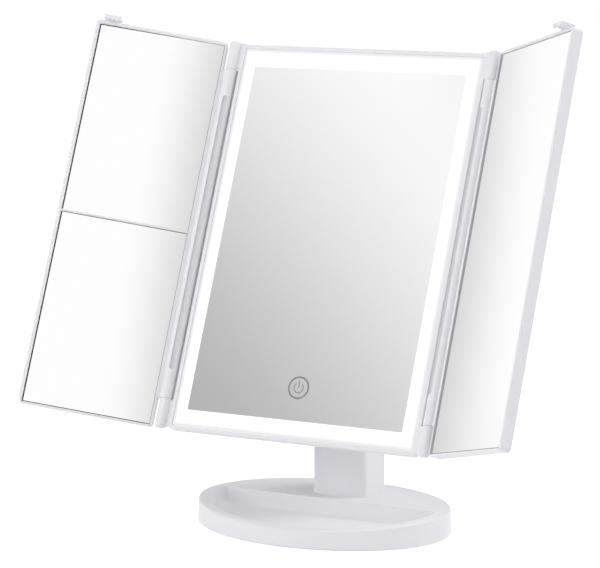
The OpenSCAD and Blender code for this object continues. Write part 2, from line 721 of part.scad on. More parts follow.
// Dark adhesive pad behind a glass, as large as its window
module wing_pad(win, v0, v1) {
    translate([win[0], wing_front + pocket_t - pad_t, v0]) cube([win[1] - win[0], pad_t, v1 - v0]);
}

rib_low = rib_v - rib_w / 2;
rib_high = rib_v + rib_w / 2;

module left_wing_frame() color(white) on_wing(-1) wing_frame(left_win, [rib_v]);

module left_wing_back() color(white) on_wing(-1) wing_back_panel();

module left_upper_mirror() color("lightgray") on_wing(-1)
    wing_glass(left_win[0] + 0.3, left_win[1] - 1, rib_high + 0.15, left_win[3] - 0.3, left_win[3] - 1);

module left_lower_mirror() color("lightgray") on_wing(-1)
    wing_glass(left_win[0] + 0.3, left_win[1] - 1, left_win[2] + 0.6, rib_low - 0.6, rib_low - 0.6);

module left_upper_pad() color("dimgray") on_wing(-1) wing_pad(left_win, rib_high, left_win[3]);

module left_lower_pad() color("dimgray") on_wing(-1) wing_pad(left_win, left_win[2], rib_low);

module right_wing_frame() color(white) on_wing(1) wing_frame(right_win, []);

module right_wing_back() color(white) on_wing(1) wing_back_panel();

module right_mirror() color("lightgray") on_wing(1)
    wing_glass(right_win[0] + 2.2, right_win[1] - 0.15, right_win[2] + 0.5, right_win[3] - 0.6,
               right_win[3] - 0.6);

module right_pad() color("dimgray") on_wing(1) wing_pad(right_win, right_win[2], right_win[3]);

base_shell();
base_cover();
anti_slip_ring();
base_screws();
battery_door();
battery_contacts();
usb_socket();
neck_shell();
neck_cover();
neck_cover_screws();
neck_foot_screws();
tilt_axle();
axle_clip();
friction_washers();
panel_bezel();
centre_mirror();
light_diffuser();
led_board();
led_chips();
mirror_carrier();
control_board();
touch_spring();
switch_housing();
switch_slider();
rear_cover();
rear_cover_screws();
tilt_bracket();
bracket_screws();
left_hinge_pins();
right_hinge_pins();
left_wing_frame();
left_wing_back();
left_upper_mirror();
left_lower_mirror();
left_upper_pad();
left_lower_pad();
right_wing_frame();
right_wing_back();
right_mirror();
right_pad();
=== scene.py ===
# %% [markdown]
# # The looks of a trifold vanity mirror
# The mirror stands on an oval tray base. A lit centre panel leans back on a neck, and two wings
# swing on pin hinges beside it. The construction is already there: this script loads it, gives every
# piece its finish, makes the screws and the printed key, and lights a white studio.

# %% Load the construction
import json
import math

import bmesh
import bpy
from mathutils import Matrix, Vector


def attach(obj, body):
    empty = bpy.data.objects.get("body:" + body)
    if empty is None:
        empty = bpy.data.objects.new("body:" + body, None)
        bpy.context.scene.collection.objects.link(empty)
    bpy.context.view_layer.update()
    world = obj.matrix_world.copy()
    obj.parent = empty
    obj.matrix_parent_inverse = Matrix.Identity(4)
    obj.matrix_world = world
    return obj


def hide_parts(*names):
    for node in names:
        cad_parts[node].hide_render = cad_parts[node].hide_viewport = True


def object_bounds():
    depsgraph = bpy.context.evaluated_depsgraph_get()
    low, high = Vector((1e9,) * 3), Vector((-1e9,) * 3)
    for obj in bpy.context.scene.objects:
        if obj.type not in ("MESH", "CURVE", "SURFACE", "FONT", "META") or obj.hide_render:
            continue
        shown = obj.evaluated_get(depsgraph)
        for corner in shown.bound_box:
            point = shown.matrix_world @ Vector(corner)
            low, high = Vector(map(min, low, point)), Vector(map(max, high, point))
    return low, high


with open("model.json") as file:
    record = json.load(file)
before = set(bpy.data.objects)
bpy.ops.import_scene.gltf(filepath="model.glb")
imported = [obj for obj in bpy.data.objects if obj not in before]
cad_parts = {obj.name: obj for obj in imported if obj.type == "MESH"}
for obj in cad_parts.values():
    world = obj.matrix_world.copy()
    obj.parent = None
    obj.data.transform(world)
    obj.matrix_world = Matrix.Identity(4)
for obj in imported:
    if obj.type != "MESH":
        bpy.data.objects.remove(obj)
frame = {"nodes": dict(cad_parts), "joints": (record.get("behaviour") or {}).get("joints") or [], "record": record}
cad_low, cad_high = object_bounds()
cad_nodes = frame["nodes"]
slot_of = {row["node"]: row["material_slot"] for row in frame["record"]["subparts"]}
print(len(cad_nodes), "pieces loaded")

# %% [markdown]
# The panel leans back, so a place on it is easiest to give in the panel's own directions. The wings'
# hinge axis runs up the panel, and its joint is in the frame, so the lean is read and not typed in.
# Sizes are in metres, so a millimetre gets a name, and so does the distance below which two points are one.

# %% The panel's own directions
joints = {joint["name"]: joint for joint in frame["joints"]}
ACROSS = Vector((1, 0, 0))
UP_PANEL = Vector(joints["left_wing_hinge"]["axis"]).normalized()
OUT_OF_PANEL = ACROSS.cross(UP_PANEL)
MM = 0.001
SAME_PLACE = 0.01 * MM


def reach(node, direction):
    """Lowest and highest reach of a piece along a direction, in metres."""
    along = [vertex.co.dot(direction) for vertex in cad_nodes[node].data.vertices]
    return min(along), max(along)


panel_foot = reach("panel_bezel", UP_PANEL)[0]
glass_face = reach("centre_mirror", OUT_OF_PANEL)[1]


def on_glass(across, up, proud=0.0):
    """A point over the centre glass: across from the middle, up from the panel's bottom edge."""
    return ACROSS * across + UP_PANEL * (panel_foot + up) + OUT_OF_PANEL * (glass_face + proud)


lean = math.degrees(math.atan2(UP_PANEL.y, UP_PANEL.z))
print(f"the panel leans back {lean:.1f} degrees")

# %% [markdown]
# ## Camera
# The photograph was taken a little from the right and from just above, with a long lens. Its place was
# found by matching the edges of panel, wings and base, so the numbers below are real distances: metres for
# the places, millimetres for lens and sensor.

# %% Camera
camera_place = Vector((0.7596, -1.4425, 0.3984))
camera_aim = Vector((0.0079, -0.0448, 0.1540))
LENS = 166.1
SENSOR_WIDTH = 36
NEAREST, FARTHEST = 0.05, 50
camera = bpy.data.objects.new("camera", bpy.data.cameras.new("camera"))
camera.data.lens = LENS
camera.data.sensor_width = SENSOR_WIDTH
camera.data.clip_start = NEAREST
camera.data.clip_end = FARTHEST
camera.location = camera_place
camera.rotation_euler = (camera_aim - camera_place).to_track_quat("-Z", "Y").to_euler()
bpy.context.scene.collection.objects.link(camera)
bpy.context.scene.camera = camera
bpy.context.scene.view_settings.view_transform = "Standard"
print("camera", round((camera_aim - camera_place).length, 3), "m from the mirror")

# %% [markdown]
# ## Small helpers for node trees
# A material is a small network. These helpers add a node, join two sockets and open a material, so that
# each finish below is only the few lines that make it what it is.

# %% Node helpers


def add(tree, kind, inputs=None, **settings):
    """Adds a node, with its settings and the values of its unlinked inputs."""
    node = tree.nodes.new(kind)
    for name, value in settings.items():
        setattr(node, name, value)
    for name, value in (inputs or {}).items():
        node.inputs[name].default_value = value
    return node


def join(tree, source, target):
    """Joins an output socket to an input socket."""
    tree.links.new(source, target)


def feed(tree, socket, value):
    """Gives an input socket a number, or joins another socket to it."""
    if isinstance(value, bpy.types.NodeSocket):
        join(tree, value, socket)
    elif value is not None:
        socket.default_value = value


def math_node(tree, operation, first, second=None):
    """A Math node whose inputs are numbers or sockets; gives its output."""
    node = add(tree, "ShaderNodeMath", operation=operation)
    for socket, value in zip(node.inputs, (first, second)):
        feed(tree, socket, value)
    return node.outputs[0]


def smooth_step(tree, value, low, high, to_low=0.0, to_high=1.0):
    """Maps a value softly from one range to another."""
    limits = {"From Min": low, "From Max": high, "To Min": to_low, "To Max": to_high}
    node = add(tree, "ShaderNodeMapRange", limits, interpolation_type="SMOOTHSTEP")
    join(tree, value, node.inputs["Value"])
    return node.outputs["Result"]


def grey_colour(tree, value):
    """One value as a neutral colour."""
    node = add(tree, "ShaderNodeCombineColor")
    for channel in node.inputs:
        join(tree, value, channel)
    return node.outputs[0]


def open_material(name):
    """A new material with its tree and its Principled shader."""
    material = bpy.data.materials.new(name)
    material.use_nodes = True
    tree = material.node_tree
    return material, tree, tree.nodes["Principled BSDF"]


def new_group(name, inputs, outputs, kind="ShaderNodeTree"):
    """A node group: inputs and outputs are name to (socket type, value)."""
    tree = bpy.data.node_groups.new(name, kind)
    for side, sockets in (("INPUT", inputs), ("OUTPUT", outputs)):
        for label, (socket_type, value) in sockets.items():
            socket = tree.interface.new_socket(label, in_out=side, socket_type=socket_type)
            if value is not None:
                socket.default_value = value
    return tree, add(tree, "NodeGroupInput"), add(tree, "NodeGroupOutput")


FLOAT = "NodeSocketFloat"
COLOUR = "NodeSocketColor"
VECTOR = "NodeSocketVector"
PURE_WHITE = (1, 1, 1, 1)
print("helpers for materials, groups and trees")

# %% [markdown]
# ## The studio seen by the mirrors
# A product photographer lights a mirror by what it reflects. Here the room is white, with soft grey cards
# where the glass should darken. Each card is a direction in degrees, the angle up to which it keeps its
# tone, and the angle over which it then fades to white. Only the mirrors' reflections see these cards. The
# camera sees plain white, and everything else is lit by an even, slightly cool dome.

# %% World
DOME_COLOUR = (0.30, 0.30, 0.304)
GREY_CARDS = {
    "centre": {"azimuth": -53.35, "elevation": -10.96, "inner": 41.96, "fade": 9.73, "tone": 0.45},
    "right": {"azimuth": 77.76, "elevation": 14.32, "inner": 50.0, "fade": 2.0, "tone": 0.61},
    "corner": {"azimuth": -29.33, "elevation": 37.31, "inner": 0.0, "fade": 4.0, "tone": 0.88},
    "left": {"azimuth": -159.83, "elevation": -17.78, "inner": 60.0, "fade": 2.0, "tone": 0.59},
}


def towards(azimuth, elevation):
    """The unit vector into the studio: azimuth 0 is -Y, positive to the right."""
    a, e = math.radians(azimuth), math.radians(elevation)
    return Vector((math.sin(a) * math.cos(e), -math.cos(a) * math.cos(e), math.sin(e)))


world = bpy.data.worlds.new("white_studio")
bpy.context.scene.world = world
world.use_nodes = True
sky = world.node_tree
background = sky.nodes["Background"]
ray_direction = add(sky, "ShaderNodeTexCoord").outputs["Generated"]
card_tone = 1.0
for card in GREY_CARDS.values():
    dot = add(sky, "ShaderNodeVectorMath", operation="DOT_PRODUCT")
    join(sky, ray_direction, dot.inputs[0])
    dot.inputs[1].default_value = towards(card["azimuth"], card["elevation"])
    away = math_node(sky, "ARCCOSINE", dot.outputs["Value"])
    inner = math.radians(card["inner"])
    outer = inner + math.radians(card["fade"])
    shade = smooth_step(sky, away, inner, outer, card["tone"])
    card_tone = math_node(sky, "MULTIPLY", shade, card_tone)
rays = add(sky, "ShaderNodeLightPath").outputs
seen_in_gloss = math_node(sky, "MAXIMUM", rays["Is Glossy Ray"], rays["Is Transmission Ray"])
dome = add(sky, "ShaderNodeMix", {"A": (*DOME_COLOUR, 1)}, data_type="RGBA")
join(sky, seen_in_gloss, dome.inputs["Factor"])
join(sky, grey_colour(sky, card_tone), dome.inputs["B"])
shown = add(sky, "ShaderNodeMix", data_type="RGBA")
shown.inputs["B"].default_value = PURE_WHITE
join(sky, rays["Is Camera Ray"], shown.inputs["Factor"])
join(sky, dome.outputs["Result"], shown.inputs["A"])
join(sky, shown.outputs["Result"], background.inputs["Color"])
background.inputs["Strength"].default_value = 1.0
print(len(GREY_CARDS), "grey cards in a white studio")

# %% [markdown]
# ## Softboxes
# Seven softboxes stand two metres away round the mirror: four in front, the strongest of them low on the
# left, a strong one behind on the right for the neck's side and the right wing's edge, and two weak ones
# that fill the right side and the back. Each row gives azimuth and elevation in degrees, power in watts and
# tint. They are hidden from gloss, so the mirrors show the clean room and no row of lamps.

# %% Softboxes
LAMP_DISTANCE = 2.0
LAMP_SIZE = 1.1
LAMPS = {
    "left_high": (-50, 40, 3.8, (1.0, 1.0, 0.9)),
    "left_front": (-45, 12, 10.3, (0.97, 0.98, 1.0)),
    "front_low": (0, 15, 5.1, (0.94, 0.92, 1.0)),
    "front_high": (0, 38, 7.9, (1.0, 0.98, 0.97)),
    "right_low": (90, 15, 5.0, (1.0, 0.97, 0.97)),
    "right_rear": (130, 45, 19.8, (1.0, 1.0, 1.0)),
    "rear_top": (180, 72, 6.0, (0.97, 0.97, 1.0)),
}
middle = (cad_low + cad_high) / 2
for name, (azimuth, elevation, power, tone) in LAMPS.items():
    lamp = bpy.data.objects.new(name, bpy.data.lights.new(name, "AREA"))
    lamp.data.size = LAMP_SIZE
    lamp.data.energy = power
    lamp.data.color = tone
    aim = towards(azimuth, elevation)
    lamp.location = middle + aim * LAMP_DISTANCE
    lamp.rotation_euler = aim.to_track_quat("Z", "Y").to_euler()
    lamp.visible_glossy = False
    bpy.context.scene.collection.objects.link(lamp)
print(len(LAMPS), "softboxes")

# %% [markdown]
# ## Floor
# The floor is a wide pale sheet. The camera sees it white by itself, with only a part of it shaded, so the
# mirror keeps a faint shadow to stand in.

# %% Floor
FLOOR_HALF = 6.0
FLOOR_SHADED_SHARE = 0.3
FLOOR_GLOW = 1.33
FLOOR_COLOUR = (0.88, 0.88, 0.89, 1)
FLOOR_ROUGHNESS = 0.9
floor_mesh = bpy.data.meshes.new("studio_floor")
corners = [(-1, -1), (1, -1), (1, 1), (-1, 1)]
floor_points = [(x * FLOOR_HALF, y * FLOOR_HALF, 0) for x, y in corners]
floor_mesh.from_pydata(floor_points, [], [(0, 1, 2, 3)])
floor = bpy.data.objects.new("studio_floor", floor_mesh)
bpy.context.scene.collection.objects.link(floor)
floor_material, tree, surface = open_material("studio_floor")
surface.inputs["Base Color"].default_value = FLOOR_COLOUR
surface.inputs["Roughness"].default_value = FLOOR_ROUGHNESS
surface.inputs["Specular IOR Level"].default_value = 0.0
glow = add(tree, "ShaderNodeEmission", {"Color": PURE_WHITE, "Strength": FLOOR_GLOW})
seen = add(tree, "ShaderNodeMixShader")
rays = add(tree, "ShaderNodeLightPath").outputs
bright = math_node(tree, "MAXIMUM", rays["Is Camera Ray"], rays["Is Glossy Ray"])
bright = math_node(tree, "MAXIMUM", bright, rays["Is Transmission Ray"])
join(tree, math_node(tree, "MULTIPLY", bright, 1 - FLOOR_SHADED_SHARE), seen.inputs[0])
join(tree, surface.outputs[0], seen.inputs[1])
join(tree, glow.outputs[0], seen.inputs[2])
join(tree, seen.outputs[0], tree.nodes["Material Output"].inputs["Surface"])
floor_mesh.materials.append(floor_material)
print("floor", 2 * FLOOR_HALF, "m wide")

# %% [markdown]
# ## Moulded skin
# Moulded plastic is never one flat value: the tone drifts a little over a hand's width, and the skin has a
# fine grain from the spark-eroded mould. Several finishes need that, so it is one node group with the
# sizes as named inputs.

# %% Moulded skin
DRIFTS_PER_METRE = 14.0
GRAIN_HARSHNESS = 0.6
tree, start, end = new_group(
    "moulded_skin",
    {
        "Color": (COLOUR, (0.8, 0.8, 0.8, 1)),
        "Tone Drift": (FLOAT, 0.02),
        "Roughness": (FLOAT, 0.35),
        "Roughness Drift": (FLOAT, 0.05),
        "Grain Size": (FLOAT, 0.0004),
    },
    {"Color": (COLOUR, None), "Roughness": (FLOAT, None), "Height": (FLOAT, None)},
)
place = add(tree, "ShaderNodeTexCoord").outputs["Object"]
drift = add(tree, "ShaderNodeTexNoise", {"Scale": DRIFTS_PER_METRE, "Detail": 2.0})
join(tree, place, drift.inputs["Vector"])
centred = math_node(tree, "SUBTRACT", drift.outputs["Fac"], 0.5)
drifted = math_node(tree, "MULTIPLY", centred, start.outputs["Tone Drift"])
gain = math_node(tree, "ADD", drifted, 1.0)
tint = add(tree, "ShaderNodeVectorMath", operation="SCALE")
join(tree, start.outputs["Color"], tint.inputs[0])
join(tree, gain, tint.inputs["Scale"])
join(tree, tint.outputs[0], end.inputs["Color"])
uneven = math_node(tree, "MULTIPLY", centred, start.outputs["Roughness Drift"])
join(tree, math_node(tree, "ADD", uneven, start.outputs["Roughness"]), end.inputs["Roughness"])
grain = add(tree, "ShaderNodeTexNoise", {"Detail": 2.0, "Roughness": GRAIN_HARSHNESS})
join(tree, place, grain.inputs["Vector"])
join(tree, math_node(tree, "DIVIDE", 1.0, start.outputs["Grain Size"]), grain.inputs["Scale"])
join(tree, grain.outputs["Fac"], end.inputs["Height"])
moulded_skin = tree
print("moulded skin:", len(tree.nodes), "nodes")

# %% [markdown]
# The skin goes into each moulded material with its own values: a satin white for the case, a fine matt
# black for slide switch, washers and pads, and a soft grey rubber for the ring under the base. The black of the
# pads round the wing mirrors is partly painted shade, which darkens the gaps round the glass.

# %% Plastics and rubber
SKIN_ROUGHNESS_DRIFT = 0.06


def moulded(name, colour, roughness, grain_size, grain_depth, drift=0.02):
    """A moulded plastic or rubber: the skin group, a bump and the shader."""
    material, tree, shader = open_material(name)
    skin = add(tree, "ShaderNodeGroup", node_tree=moulded_skin)
    skin.inputs["Color"].default_value = (*colour, 1)
    skin.inputs["Tone Drift"].default_value = drift
    skin.inputs["Roughness"].default_value = roughness
    skin.inputs["Roughness Drift"].default_value = SKIN_ROUGHNESS_DRIFT
    skin.inputs["Grain Size"].default_value = grain_size
    bump = add(tree, "ShaderNodeBump", {"Strength": 1.0, "Distance": grain_depth})
    join(tree, skin.outputs["Height"], bump.inputs["Height"])
    join(tree, skin.outputs["Color"], shader.inputs["Base Color"])
    join(tree, skin.outputs["Roughness"], shader.inputs["Roughness"])
    join(tree, bump.outputs["Normal"], shader.inputs["Normal"])
    return material


WHITE = (0.80, 0.802, 0.824)
BLACK = (0.035, 0.035, 0.038)
RUBBER_GREY = (0.30, 0.30, 0.31)
white_plastic = moulded("satin_white_plastic", WHITE, 0.34, 0.5 * MM, 0.004 * MM)
# The black pads in the gaps round the wing mirrors are partly painted shade: they darken those gaps.
dark_plastic = moulded("fine_matt_black_plastic_and_gap_shade", BLACK, 0.5, 0.3 * MM, 0.01 * MM)
grey_rubber = moulded("soft_grey_rubber", RUBBER_GREY, 0.75, 0.8 * MM, 0.03 * MM, drift=0.08)
print("made", white_plastic.name, dark_plastic.name, grey_rubber.name)

# %% [markdown]
# ## Mirror glass
# Silvered glass reflects nearly everything. Its surface is almost perfect: only the last wipe has left
# faint streaks that blur it a very little, so roughness carries them.

# %% Wiped glass
WIPE_TURN = math.radians(35)
WIPE_STRETCH = 0.25
STREAKS_FROM, STREAKS_TO = 0.45, 0.75
tree, start, end = new_group(
    "wiped_glass",
    {"Roughness": (FLOAT, 0.02), "Streaks": (FLOAT, 0.02), "Streak Size": (FLOAT, 0.03)},
    {"Roughness": (FLOAT, None)},
)
place = add(tree, "ShaderNodeTexCoord").outputs["Object"]
turned = add(tree, "ShaderNodeMapping")
turned.inputs["Rotation"].default_value = (math.radians(-lean), 0, WIPE_TURN)
turned.inputs["Scale"].default_value = (1.0, 1.0, WIPE_STRETCH)
join(tree, place, turned.inputs["Vector"])
streaks = add(tree, "ShaderNodeTexNoise", {"Detail": 3.0, "Distortion": 0.4})
join(tree, turned.outputs[0], streaks.inputs["Vector"])
join(tree, math_node(tree, "DIVIDE", 1.0, start.outputs["Streak Size"]), streaks.inputs["Scale"])
faint = smooth_step(tree, streaks.outputs["Fac"], STREAKS_FROM, STREAKS_TO)
faint = math_node(tree, "MULTIPLY", faint, start.outputs["Streaks"])
join(tree, math_node(tree, "ADD", faint, start.outputs["Roughness"]), end.inputs["Roughness"])
wiped_glass = tree
print("wiped glass:", len(tree.nodes), "nodes")

# %% [markdown]
# The pane is ground and painted at its edge, where it is dark and dull; this dark rim is partly painted shade for
# the gap round the pane. So one more group tells the faces that look forward or back from the narrow ones round
# the rim.
# It compares each face's own direction with the way the pane looks, which is read from its largest face.

# %% Rim of a pane
RIM_LIMIT = 0.7
tree, start, end = new_group(
    "pane_rim",
    {"Looks": (VECTOR, (0, -1, 0))},
    {"Rim": (FLOAT, None)},
)
own_normal = add(tree, "ShaderNodeTexCoord").outputs["Normal"]
facing = add(tree, "ShaderNodeVectorMath", operation="DOT_PRODUCT")
join(tree, own_normal, facing.inputs[0])
join(tree, start.outputs["Looks"], facing.inputs[1])
along = math_node(tree, "ABSOLUTE", facing.outputs["Value"])
join(tree, math_node(tree, "LESS_THAN", along, RIM_LIMIT), end.inputs["Rim"])
pane_rim = tree
print("pane rim:", len(tree.nodes), "nodes")

# %% [markdown]
# Each pane gets its own material, because each looks its own way. Silver is bare metal to the shader; the
# painted rim, partly painted shade, is no metal and dull, so the rim's mask also lowers Metallic and raises
# Roughness.

# %% Silvered panes
SILVER = (0.985, 0.986, 0.986, 1)
# The dark rim is partly real edge paint and partly painted shade for the gap round the pane.
RIM_PAINT_AND_GAP_SHADE = (0.06, 0.065, 0.065, 1)
RIM_DULLNESS = 0.5
GLASS_ROUGHNESS = 0.02
WIPE_BLUR = 0.02


def silvered(node):
    """Mirror glass for one pane: silver on its faces, dark paint round its rim, partly painted shade for the gap.
    """
    largest = max(cad_nodes[node].data.polygons, key=lambda face: face.area)
    material, tree, shader = open_material("silvered_" + node)
    rim = add(tree, "ShaderNodeGroup", node_tree=pane_rim)
    rim.inputs["Looks"].default_value = largest.normal
    coat = add(tree, "ShaderNodeMix", {"A": SILVER, "B": RIM_PAINT_AND_GAP_SHADE}, data_type="RGBA")
    join(tree, rim.outputs["Rim"], coat.inputs["Factor"])
    join(tree, coat.outputs["Result"], shader.inputs["Base Color"])
    join(tree, math_node(tree, "SUBTRACT", 1.0, rim.outputs["Rim"]), shader.inputs["Metallic"])
    wipe = add(tree, "ShaderNodeGroup", node_tree=wiped_glass)
    wipe.inputs["Roughness"].default_value = GLASS_ROUGHNESS
    wipe.inputs["Streaks"].default_value = WIPE_BLUR
    dull = math_node(tree, "MULTIPLY", rim.outputs["Rim"], RIM_DULLNESS)
    join(tree, math_node(tree, "ADD", wipe.outputs["Roughness"], dull), shader.inputs["Roughness"])
    return material


# %% [markdown]
# ## The lit band
# The clear band round the mirror is milky on its back and lit by chips behind it. It glows evenly, with painted
# shade in the last millimetres before the frame: the glow is turned down there to stand in for the frame lip's
# shade.

# %% Lit band
BAND_LIP_SHADE_WIDTH = 3.6 * MM
BAND_GLOW_IN_LIP_SHADE = 0.62
BAND_COLOUR = (0.35, 0.35, 0.355, 1)
BAND_ROUGHNESS = 0.25
BAND_LIGHT = 0.75
FACE_DEPTH = 0.1 * MM
band_face = reach("light_diffuser", OUT_OF_PANEL)[1]
band_points = [vertex.co for vertex in cad_nodes["light_diffuser"].data.vertices]
band_points = [point for point in band_points if band_face - point.dot(OUT_OF_PANEL) < FACE_DEPTH]
band_right = max(point.x for point in band_points)
band_low = min(point.dot(UP_PANEL) for point in band_points)
band_high = max(point.dot(UP_PANEL) for point in band_points)
print(f"lit band {2 * band_right / MM:.1f} by {(band_high - band_low) / MM:.1f} mm")
lit_band, tree, shader = open_material("milky_lit_glass")
shader.inputs["Base Color"].default_value = BAND_COLOUR
shader.inputs["Roughness"].default_value = BAND_ROUGHNESS
place = add(tree, "ShaderNodeTexCoord").outputs["Object"]
apart = add(tree, "ShaderNodeSeparateXYZ")
upright = add(tree, "ShaderNodeMapping")
upright.inputs["Rotation"].default_value = (math.radians(lean), 0, 0)
join(tree, place, upright.inputs["Vector"])
join(tree, upright.outputs[0], apart.inputs[0])
side = math_node(tree, "SUBTRACT", band_right, math_node(tree, "ABSOLUTE", apart.outputs["X"]))
above = math_node(tree, "SUBTRACT", apart.outputs["Z"], band_low)
below = math_node(tree, "SUBTRACT", band_high, apart.outputs["Z"])
inset = math_node(tree, "MINIMUM", side, math_node(tree, "MINIMUM", above, below))
# Painted shade: the glow drops towards the band's outer edge to stand in for the shade of the frame's lip.
even = smooth_step(tree, inset, 0.0, BAND_LIP_SHADE_WIDTH, BAND_GLOW_IN_LIP_SHADE, 1.0)
join(tree, grey_colour(tree, even), shader.inputs["Emission Color"])
shader.inputs["Emission Strength"].default_value = BAND_LIGHT

# %% [markdown]
# ## Metal
# Screws, axle and pins are zinc-plated steel, and the battery contacts bright nickel. Both kept fine marks
# from the tool that formed them, which a second group gives to colour, roughness and height.

# %% Turned metal
MARKS_IN_ROUGHNESS = 0.2
MARKS_IN_TONE = 0.12
tree, start, end = new_group(
    "turned_metal",
    {
        "Color": (COLOUR, (0.6, 0.6, 0.6, 1)),
        "Roughness": (FLOAT, 0.3),
        "Mark Size": (FLOAT, 0.0002),
    },
    {"Color": (COLOUR, None), "Roughness": (FLOAT, None), "Height": (FLOAT, None)},
)
place = add(tree, "ShaderNodeTexCoord").outputs["Object"]
marks = add(tree, "ShaderNodeTexNoise", {"Detail": 3.0, "Roughness": 0.7})
join(tree, place, marks.inputs["Vector"])
join(tree, math_node(tree, "DIVIDE", 1.0, start.outputs["Mark Size"]), marks.inputs["Scale"])
centred = math_node(tree, "SUBTRACT", marks.outputs["Fac"], 0.5)
uneven = math_node(tree, "MULTIPLY", centred, MARKS_IN_ROUGHNESS)
join(tree, math_node(tree, "ADD", uneven, start.outputs["Roughness"]), end.inputs["Roughness"])
gain = math_node(tree, "ADD", math_node(tree, "MULTIPLY", centred, MARKS_IN_TONE), 1.0)
tint = add(tree, "ShaderNodeVectorMath", operation="SCALE")
join(tree, start.outputs["Color"], tint.inputs[0])
join(tree, gain, tint.inputs["Scale"])
join(tree, tint.outputs[0], end.inputs["Color"])
join(tree, marks.outputs["Fac"], end.inputs["Height"])
turned_metal = tree
print("turned metal:", len(tree.nodes), "nodes")

# %% [markdown]
# The boards are coated in solder mask, which pools a little unevenly over the copper, so they take the
# moulded skin with more drift. The chips' yellow is the phosphor over the light source.

# %% Plated steel, boards and chips
MARK_DEPTH = 0.005 * MM


def plated(name, colour, roughness):
    """A plated steel: the turning marks, a slight bump and the shader."""
    material, tree, shader = open_material(name)
    marks = add(tree, "ShaderNodeGroup", node_tree=turned_metal)
    marks.inputs["Color"].default_value = (*colour, 1)
    marks.inputs["Roughness"].default_value = roughness
    bump = add(tree, "ShaderNodeBump", {"Strength": 0.5, "Distance": MARK_DEPTH})
    join(tree, marks.outputs["Height"], bump.inputs["Height"])
    join(tree, marks.outputs["Color"], shader.inputs["Base Color"])
    join(tree, marks.outputs["Roughness"], shader.inputs["Roughness"])
    join(tree, bump.outputs["Normal"], shader.inputs["Normal"])
    shader.inputs["Metallic"].default_value = 1.0
    return material


zinc_steel = plated("zinc_plated_steel", (0.62, 0.62, 0.64), 0.32)
nickel_steel = plated("bright_nickel", (0.78, 0.77, 0.74), 0.16)
GREEN_MASK = (0.02, 0.16, 0.06)
WHITE_MASK = (0.85, 0.85, 0.84)
PHOSPHOR = (0.9, 0.78, 0.32)
green_board = moulded("green_solder_mask", GREEN_MASK, 0.25, 2 * MM, 0.01 * MM, drift=0.25)
white_board = moulded("white_solder_mask", WHITE_MASK, 0.3, 2 * MM, 0.01 * MM, drift=0.04)
chip_phosphor = moulded("chip_phosphor", PHOSPHOR, 0.4, 0.6 * MM, 0.01 * MM, drift=0.1)
print("made", zinc_steel.name, nickel_steel.name, green_board.name, white_board.name, chip_phosphor.name)

# %% [markdown]
# ## Finishes on the construction
# Every piece takes the finish of its slot. The construction's curved walls arrive as loose flat triangles,
# so mouldings, metal and rubber get three live modifiers that leave their shape alone: Weld joins the
# triangles, Edge Split keeps real edges sharp, and Weighted Normal keeps flat faces flat beside round ones.

# %% Give every piece of the construction its finish
FACET_ANGLE = math.radians(28)
finish_of_slot = {
    "white_plastic": white_plastic,
    "diffuser": lit_band,
    "led": chip_phosphor,
    "led_board": white_board,
    "circuit_board": green_board,
    "steel": zinc_steel,
    "plated_steel": nickel_steel,
    "grey_rubber": grey_rubber,
    "dark_plastic": dark_plastic,
}
SMOOTH_SLOTS = ("white_plastic", "steel", "plated_steel", "grey_rubber")


def shade_as_moulded(piece):
    """Shades the facets of a curved wall as one smooth surface."""
    piece.data.polygons.foreach_set("use_smooth", [True] * len(piece.data.polygons))
    weld = piece.modifiers.new("joined", "WELD")
    weld.merge_threshold = SAME_PLACE
    split = piece.modifiers.new("real_edges", "EDGE_SPLIT")
    split.split_angle = FACET_ANGLE
    split.use_edge_sharp = False
    piece.modifiers.new("flat_faces_first", "WEIGHTED_NORMAL")


for name, piece in cad_nodes.items():
    piece.data.materials.clear()
    is_mirror = slot_of[name] == "mirror_glass"
    piece.data.materials.append(silvered(name) if is_mirror else finish_of_slot[slot_of[name]])
    if slot_of[name] in SMOOTH_SLOTS:
        shade_as_moulded(piece)
print(len(finish_of_slot), "finishes on", len(cad_nodes), "pieces")

# %% [markdown]
# ## Screws
# The screws are pan heads with a cross recess. One of them could be turned and cut by hand, but there are
# fourteen in four sizes, so a Geometry Nodes tree makes them: a ball flattened into a pan head, a tapered
# cross cut out of it, and a shank, set on the points where the construction has its screws.

# %% The screw maker's inputs
GEOMETRY = "NodeSocketGeometry"
screw_tree, start, end = new_group(
    "cross_recess_screws",
    {
        "Places": (GEOMETRY, None),
        "Head Radius": (FLOAT, 0.0025),
        "Head Height": (FLOAT, 0.0012),
        "Shank Radius": (FLOAT, 0.0011),
        "Shank Length": (FLOAT, 0.008),
        "Recess Span": (FLOAT, 0.003),
        "Recess Width": (FLOAT, 0.0006),
        "Recess Depth": (FLOAT, 0.0009),
        "Facing": (VECTOR, (0, 0, 1)),
        "Finish": ("NodeSocketMaterial", None),
    },
    {"Screws": (GEOMETRY, None)},
    kind="GeometryNodeTree",
)
screw_tree.is_modifier = True
sizes = start.outputs
print(len(sizes) - 1, "inputs of the screw maker")

# %% [markdown]
# A tree that shapes things mostly moves points, so it gets three helpers of its own: one puts a vector
# together, one moves the points of a mesh, and one reads where each point is.

# %% Helpers for the screw maker


def combine(x, y, z):
    """A vector from three numbers or sockets."""
    node = add(screw_tree, "ShaderNodeCombineXYZ")
    for socket, value in zip(node.inputs, (x, y, z)):
        feed(screw_tree, socket, value)
    return node.outputs[0]


def moved(mesh, position=None, offset=None):
    """A mesh with its points put elsewhere."""
    node = add(screw_tree, "GeometryNodeSetPosition")
    join(screw_tree, mesh, node.inputs["Geometry"])
    feed(screw_tree, node.inputs["Position"], position)
    feed(screw_tree, node.inputs["Offset"], offset)
    return node.outputs[0]


